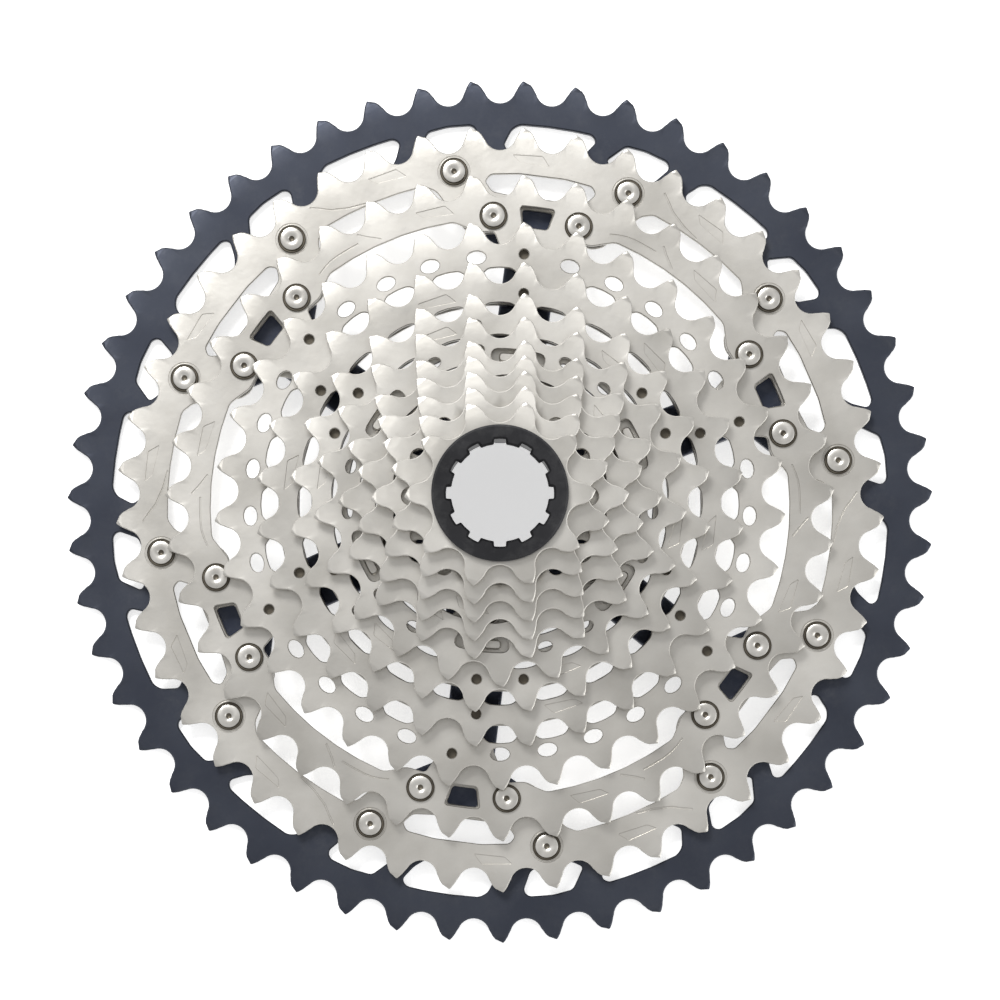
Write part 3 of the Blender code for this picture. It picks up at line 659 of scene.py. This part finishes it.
def inside_39(bm):
    """Pads and tongues at the arms, and pressed lines along the beam and across it."""
    beam, pad, tongue = root_radius(39) - 0.0053, inner_circle - 0.0038, pin_circle(33) - 0.0026
    points = []
    for a in arms:
        points += [(beam, a - 16.5), (beam - 0.0012, a - 14.8), (pad, a - 12.0), (pad, a - 8.4)]
        points += [(tongue, a - 5.4), (tongue, a), (tongue, a + 5.4)]
        points += [(pad, a + 8.4), (pad, a + 12.0), (beam - 0.0012, a + 14.8), (beam, a + 16.5)]
        points += [(beam, a + 16.5 + 27 * k / 5) for k in range(1, 5)]
    lines = outline(bm, points, 0.0008)
    pressed = []
    for a in arms:
        lines += window(bm, inner_circle - 0.0026, inner_circle + 0.0026, a, 2.6, 3.4, 0.0010)
        pressed.append(groove(bm, [(0.0743, a - 25.0), (0.0728, a - 26.4), (0.0708, a - 28.8)]))
        rib = [(0.0708 + 0.0012 * math.sin(math.pi * min(k / 6, 0.5)), a - 14.8 - 1.6 * k)
               for k in range(7)]
        side = [(radius + 0.0004, turn) for radius, turn in rib]
        pressed.append(outline(bm, rib + side[::-1]))
        pressed.append(shift_ramp(bm, 39, tooth_near(39, a + 22)))
    for a in pairs:
        lines += hole(bm, rivet_hole, polar(inner_circle, a))
    return lines, pressed


plate_39 = toothed_plate(39, "sprocket_39t", inside_39, steel_plate)
studs_to(plate_39, 39, 33)
# The 0.93 darkens this plate as painted shade, and the second, near-black material paints the shade inside
# its studs.
show("sprocket_39t_plate", plate_39, [nickel_steel("nickel_steel_39t", 2, 0.93), painted_shade_steel], "sprocket_39t")


# ---- Inner rivets -------------------------------------------------------------------------------
# Twelve more of the same rivets, in a pair over each arm: through the 39-tooth sprocket, the
# bridge of the 45-tooth one and the spider's hand.

rivets("inner", 12)


# ---- 33, 28 and 24-tooth sprockets --------------------------------------------------------------
# Pressed steel rings, each carried by the next larger one on hollow studs just inside its valleys.
# Windows open under the valleys of the smaller neighbour, and ovals lighten the rim of the 33.

def from_arm(degrees):
    return min(abs((degrees - a + 180) % 360 - 180) for a in arms)


def crescent(bm, low, high, middle, half):
    """Draws the lens-shaped window that opens under a smaller sprocket's valley."""
    turns = [(low, -0.70), (low - 0.0002, 0), (low, 0.70), ((low + high) / 2, 1), (high, 0.62),
             (high + 0.0002, 0), (high, -0.62), ((low + high) / 2, -1)]
    return outline(bm, [(radius, middle + half * turn) for radius, turn in turns], 0.0008)


def oval(bm, radius, middle, tall, wide):
    """Draws a small oval hole across the plate's radius."""
    half = math.degrees(wide / 2 / radius)
    turns = [(math.sin(2 * math.pi * k / 14) * tall / 2, math.cos(2 * math.pi * k / 14) * half)
             for k in range(14)]
    return outline(bm, [(radius + up, middle + turn) for up, turn in turns])


def ring_inside(teeth, smaller, deep, with_ovals):
    """Draws a plate's bore, the windows at its smaller neighbour's valleys and its pin holes."""
    def draw(bm):
        lines = hole(bm, pin_circle(smaller) - 0.0026, segments=teeth * 3)
        pins = pin_angles(teeth)
        low = root_radius(smaller) + 0.0005
        for k in range(smaller):
            middle = 90 + k * 360 / smaller
            if from_arm(middle) > 6:
                lines += crescent(bm, low, low + deep, middle, 360 / smaller * 0.38)
        for k in range(teeth if with_ovals else 0):
            middle = 90 + (k + 0.5) * 360 / teeth
            if min(abs((middle - p + 180) % 360 - 180) for p in pins) > 2:
                lines += oval(bm, root_radius(teeth) - 0.0030, middle, 0.0032, 0.0047)
        for p in pins:
            lines += hole(bm, pin_hole, polar(pin_circle(teeth), p), 16)
        ramps = [] if with_ovals else [shift_ramp(bm, teeth, tooth_near(teeth, a + 26)) for a in arms]
        return lines, ramps
    return draw


# The last number in each row darkens that plate as painted shade, and the second, near-black material paints
# the shade inside its studs.
for teeth, smaller, deep, painted_shade_factor in ((33, 28, 0.0038, 0.98), (28, 24, 0.0029, 0.90)):
    node = f"sprocket_{teeth}t"
    plate = toothed_plate(teeth, node, ring_inside(teeth, smaller, deep, teeth == 33), steel_plate)
    studs_to(plate, teeth, smaller)
    steel = nickel_steel(f"nickel_steel_{teeth}t", teeth, painted_shade_factor)
    show(f"{node}_plate", plate, [steel, painted_shade_steel], node)


slot_circle = root_radius(21) - 0.0044


def inside_24(bm):
    """A bore that steps in at the arms to hold the bars, and windows at the 21-tooth valleys."""
    narrow, tab = slot_circle + 0.0021, slot_circle - 0.0025
    points = []
    for a in arms:
        points += [(narrow, a - 17), (tab, a - 13), (tab, a - 6), (tab, a), (tab, a + 6), (tab, a + 13)]
        points += [(narrow, a + 17)]
        points += [(narrow, a + 17 + 26 * k / 4) for k in range(1, 4)]
    lines = outline(bm, points, 0.0010)
    for k in range(21):
        middle = 90 + k * 360 / 21
        if from_arm(middle) > 6:
            lines += crescent(bm, slot_circle + 0.0038, root_radius(24) - 0.0048, middle, 5.6)
    for p in pin_angles(24):
        lines += hole(bm, pin_hole, polar(pin_circle(24), p), 16)
    return lines, [shift_ramp(bm, 24, tooth_near(24, a + 30)) for a in arms]


plate_24 = toothed_plate(24, "sprocket_24t", inside_24, steel_plate)
for a in arms:
    bar = bmesh.new()
    fill(bar, window(bar, slot_circle - 0.0011, slot_circle + 0.0011, a, 7.6, 7.6, 0.0009))
    bar_foot, bar_top = level("sprocket_24t", 0) + 0.0012, level("sprocket_21t", 0) + 0.0009
    add_to(plate_24, thicken(bar, bar_foot, bar_top, 0.0003))
show("sprocket_24t_plate", plate_24, nickel_steel("nickel_steel_24t", 5), "sprocket_24t")


# ---- 21-tooth sprocket and its rivets -----------------------------------------------------------
# The smallest sprocket of the cluster. Six petals reach in to the star flange, where one rivet
# holds each; a curved slot in every petal takes a bar of the 24-tooth sprocket.

petal_pad = 0.0048


def inside_21(bm):
    """Six petals with a round pad each, a kidney slot over each bar, and ovals behind the teeth."""
    ring = root_radius(21) - 0.0058
    points = []
    for a in arms:
        points.append((ring - 0.0004, a - 18.2))
        for turn in (-60, -40, -20, 0, 20, 40, 60):
            inward = petal_pad * math.cos(math.radians(turn))
            sideways = math.degrees(petal_pad * math.sin(math.radians(turn)) / petal_circle)
            points.append((petal_circle - inward, a + sideways))
        points.append((ring - 0.0004, a + 18.2))
        points += [(ring + 0.0002, a + 22), (ring + 0.0004, a + 26), (ring + 0.0004, a + 30),
                   (ring + 0.0004, a + 34), (ring + 0.0002, a + 38)]
    lines = outline(bm, points, 0.0005, 2)
    pressed = []
    for a in arms:
        lines += window(bm, slot_circle - 0.0019, slot_circle + 0.0019, a, 10.6, 10.6, 0.0016)
        lines += hole(bm, rivet_hole, polar(petal_circle, a))
        for side in (-1, 1):
            beside = tooth_near(21, a + 30 + side * 8.6)
            lines += oval(bm, root_radius(21) - 0.0024, beside, 0.0024, 0.0034)
        pressed.append(ring_groove(bm, 0.0040, polar(petal_circle, a), 0.0003))
    return lines, pressed


# The 0.94 darkens this plate as painted shade.
show("sprocket_21t_plate", toothed_plate(21, "sprocket_21t", inside_21, steel_plate),
     nickel_steel("nickel_steel_21t", 6, 0.94), "sprocket_21t")
rivets("petal", 6, 0.0003)


# ---- 18, 16 and 14-tooth sprockets --------------------------------------------------------------
# Loose steel sprockets that slide on the freehub's splines. The 18 has six teardrop windows, the
# 16 a ring of sixteen holes and the 14 fourteen small ones round a stepped seat.

spacer_outer = 0.0191


def inside_18(bm):
    lines = splined_bore(bm)
    teardrop = [(0.0244, 24), (0.0286, 19), (0.0295, 10), (0.0296, 0), (0.0296, -12), (0.0293, -22.5),
                (0.0240, -20), (0.0203, -15), (0.0193, -4), (0.0193, 6), (0.0196, 17)]
    for k in range(6):
        lines += outline(bm, [(radius, 79 + 60 * k + turn) for radius, turn in teardrop], 0.0012, 4)
    return lines, [shift_ramp(bm, 18, tooth_near(18, angle)) for angle in (240, 40)]


def round_holes_inside(teeth, middle, radius):
    """Draws the splined bore and a hole behind every tooth."""
    def draw(bm):
        lines = splined_bore(bm)
        for k in range(teeth):
            lines += hole(bm, radius, polar(middle, 90 + (k + 0.5) * 360 / teeth), 28)
        return lines, [shift_ramp(bm, teeth, tooth_near(teeth, 250))]
    return draw


seat_floor, seat_rim, seat_depth = 0.0180, 0.0190, 0.0006


def inside_14(bm):
    """As the 16, with a stepped seat round the bore. The seat's rings are filled on their own."""
    seat, rim = hole(bm, seat_floor, segments=120), hole(bm, seat_rim, segments=120)
    fill(bm, seat + splined_bore(bm))
    fill(bm, seat + rim)
    small, middle = 0.0020, spacer_outer + 0.0020
    holes = [hole(bm, small, polar(middle, 90 + (k + 0.5) * 360 / 14), 28) for k in range(14)]
    return rim + [e for ring in holes for e in ring], []


inside_16 = round_holes_inside(16, spacer_outer + 0.0036, 0.0027)
for teeth, inside in ((18, inside_18), (16, inside_16), (14, inside_14)):
    node = f"sprocket_{teeth}t"
    plate = toothed_plate(teeth, node, inside, steel_plate)
    if teeth == 14:
        front = level(node, 1) - 0.0005
        for vert in plate.verts:
            if vert.co.z > front and vert.co.xy.length < seat_floor + 0.00005:
                vert.co.z -= seat_depth
    steel = nickel_steel(f"nickel_steel_{teeth}t", teeth)
    show(f"{node}_plate", plate, steel, node, f"{node}_body")


# ---- Spacers ------------------------------------------------------------------------------------
# Two turned aluminium rings, grey anodised, that set the distance between the loose sprockets.

grey = anodised_aluminium("grey_anodised_aluminium", (0.20, 0.20, 0.205), (0.26, 0.26, 0.265), 0.34)
for node in ("spacer_a", "spacer_b"):
    low, high = level(node, 0), level(node, 1)
    outer, inner, edge = spacer_outer, 0.0172, 0.0003
    profile = [(inner, low + edge), (inner + edge, low), (outer - edge, low), (outer, low + edge),
               (outer, high - edge), (outer - edge, high), (inner + edge, high), (inner, high - edge),
               (inner, low + edge)]
    show(f"{node}_ring", turned(profile, 96), grey, node, f"{node}_body")


# ---- 12 and 10-tooth sprockets ------------------------------------------------------------------
# The two smallest have collars of their own: the 12 seats in the step of the 14 and has a notched
# recess in front, and dogs behind the 10 lock into it.

loose_bore, collar_radius, dog_radius = 0.0140, 0.0151, 0.0164


def dog_outline(bm, clearance):
    """Draws eight square dogs round a collar, or with a clearance the notches that take them."""
    outer, inner = dog_radius + clearance, collar_radius + clearance
    points = []
    for k in range(8):
        middle = 90 + 45 * k
        half = 11.25 + math.degrees(clearance / dog_radius)
        points += [(outer, middle + half * turn) for turn in (-1, -0.5, 0, 0.5, 1)]
        valley = (half + 1, 18, 22.5, 27, 44 - half)
        points += [(inner, middle + turn) for turn in valley]
    return outline(bm, points, 0.0002, 2)


def inside_12(bm):
    """The bore and the notched recess round it, which is marked to be pressed."""
    bore = hole(bm, loose_bore, segments=96)
    notches = dog_outline(bm, 0.00015)
    marked = bm.faces.layers.int["pressed"]
    before = set(bm.faces)
    fill(bm, bore + notches)
    for face in bm.faces:
        if face not in before:
            face[marked] = 1
    return notches, []


def inside_10(bm):
    """Fine radial serrations under the lock ring's flange."""
    inner, outer = 0.0143, 0.0157
    serrations = []
    for k in range(44):
        angle = 360 / 44 * k
        serrations.append(outline(bm, [(inner, angle - 1.2), (inner, angle + 1.2), (outer, angle + 1.1),
                                       (outer, angle - 1.1)]))
    return hole(bm, loose_bore, segments=96), serrations


plate_12 = toothed_plate(12, "sprocket_12t", inside_12, steel_plate, press=-0.0009)
for vert in plate_12.verts:
    vert.co.z += level("sprocket_12t", 1) - steel_plate - level("sprocket_12t", 0)
back, front = level("sprocket_12t", 0), level("sprocket_12t", 1)
collar = [(loose_bore, front - 0.0014), (0.0184, front - 0.0014), (0.0184, back + 0.0002),
          (0.0182, back), (0.0171, back), (0.0170, front - 0.0019), (loose_bore, front - 0.0019),
          (loose_bore, front - 0.0014)]
add_to(plate_12, turned(collar, 96))
show("sprocket_12t_forging", plate_12, nickel_steel("nickel_steel_12t", 12), "sprocket_12t",
     "sprocket_12t_body")

plate_10 = toothed_plate(10, "sprocket_10t", inside_10, steel_plate, press=-0.0002)
for vert in plate_10.verts:
    vert.co.z += level("sprocket_10t", 1) - steel_plate - level("sprocket_10t", 0)
back, front = level("sprocket_10t", 0), level("sprocket_10t", 1)
collar = [(loose_bore, front - 0.0014), (collar_radius, front - 0.0014), (collar_radius, back + 0.0002),
          (collar_radius - 0.0002, back), (loose_bore, back), (loose_bore, front - 0.0014)]
add_to(plate_10, turned(collar, 96))
dogs = bmesh.new()
fill(dogs, dog_outline(dogs, 0) + hole(dogs, loose_bore + 0.0002, segments=96))
add_to(plate_10, thicken(dogs, back + 0.0001, front - 0.0037, 0.0001))
show("sprocket_10t_forging", plate_10, nickel_steel("nickel_steel_10t", 10), "sprocket_10t",
     "sprocket_10t_body")


# ---- Lock ring ----------------------------------------------------------------------------------
# Turned aluminium, black anodised: a flange that clamps the stack, twelve notches for the tool in
# its bore, and a threaded sleeve that screws into the freehub.

black = anodised_aluminium("black_anodised_aluminium", (0.020, 0.020, 0.022), (0.030, 0.030, 0.033), 0.34)
lock_bore, lock_flange, sleeve = 0.0114, 0.0160, 0.0136
seat, front = level("lock_ring", 1) - 0.0022, level("lock_ring", 1)
ring = bmesh.new()
points = []
for k in range(12):
    middle = 30 * k
    points += [(lock_bore, middle - 7.2), (lock_bore + 0.0012, middle - 6.2), (lock_bore + 0.0012, middle),
               (lock_bore + 0.0012, middle + 6.2), (lock_bore, middle + 7.2), (lock_bore, middle + 15)]
fill(ring, hole(ring, lock_flange, segments=120) + outline(ring, points, 0.0002, 2))
thicken(ring, seat, front, 0.0005)
thread_pitch = 0.0008
thread_turns = 9
thread = [(lock_bore + 0.0013, seat + 0.0004), (sleeve - 0.0006, seat + 0.0004),
          (sleeve - 0.0006, seat - 0.0006)]
for k in range(thread_turns):
    low = seat - 0.0006 - thread_pitch * (k + 1)
    thread += [(sleeve, low + thread_pitch * 0.62), (sleeve, low + thread_pitch * 0.38),
               (sleeve - 0.0005, low)]
thread += [(sleeve - 0.0008, level("lock_ring", 0)), (lock_bore + 0.0013, level("lock_ring", 0)),
           (lock_bore + 0.0013, seat + 0.0004)]
add_to(ring, turned(thread, 96))
show("lock_ring_turned", ring, black, "lock_ring", "lock_ring_body")


# ---- Studio -------------------------------------------------------------------------------------
# A pale floor under the largest sprocket, a large soft light above and a paler one at the side.

def plain_finish(name, colour, roughness, glow):
    """A matt surface; the glow lifts its shadows, as a lit table's would be."""
    finish = Finish(name, 0.0, Emission_Strength=glow)
    finish.set("Emission Color", colour)
    finish.set("Base Color", colour)
    finish.set("Roughness", roughness)
    return finish.material


bm = bmesh.new()
bmesh.ops.create_grid(bm, x_segments=1, y_segments=1, size=1.5, matrix=Matrix.Translation((0, 0, -0.0002)))
floor_mesh = bpy.data.meshes.new("floor")
bm.to_mesh(floor_mesh)
bm.free()
floor_mesh.materials.append(plain_finish("pale_floor", (0.86, 0.86, 0.86), 0.7, 0.7))
floor = bpy.data.objects.new("floor", floor_mesh)
bpy.context.scene.collection.objects.link(floor)

world = bpy.data.worlds.new("studio")
world.use_nodes = True
world.node_tree.nodes["Background"].inputs["Color"].default_value = (1, 1, 1, 1)
world.node_tree.nodes["Background"].inputs["Strength"].default_value = 0.62
bpy.context.scene.world = world


def area_light(name, place, target, size, power):
    data = bpy.data.lights.new(name, "AREA")
    data.size = size
    data.energy = power
    light = bpy.data.objects.new(name, data)
    light.location = place
    light.rotation_euler = (Vector(target) - Vector(place)).to_track_quat("-Z", "Y").to_euler()
    bpy.context.scene.collection.objects.link(light)


area_light("soft_key", (-0.35, 0.75, 0.95), (0, 0, 0), 0.45, 13)
area_light("soft_fill", (0.9, -0.3, 0.6), (0, 0, 0), 0.7, 3)

camera_data = bpy.data.cameras.new("camera")
camera_data.lens = 150
camera_data.sensor_width = 36
camera = bpy.data.objects.new("camera", camera_data)
elevation = math.radians(85)
aim = Vector((0, 0.001, 0.012))
distance = 1.0
camera.location = aim + distance * Vector((0, -math.cos(elevation), math.sin(elevation)))
camera.rotation_euler = (aim - camera.location).to_track_quat("-Z", "Y").to_euler()
bpy.context.scene.collection.objects.link(camera)
bpy.context.scene.camera = camera
bpy.context.scene.view_settings.view_transform = "Standard"
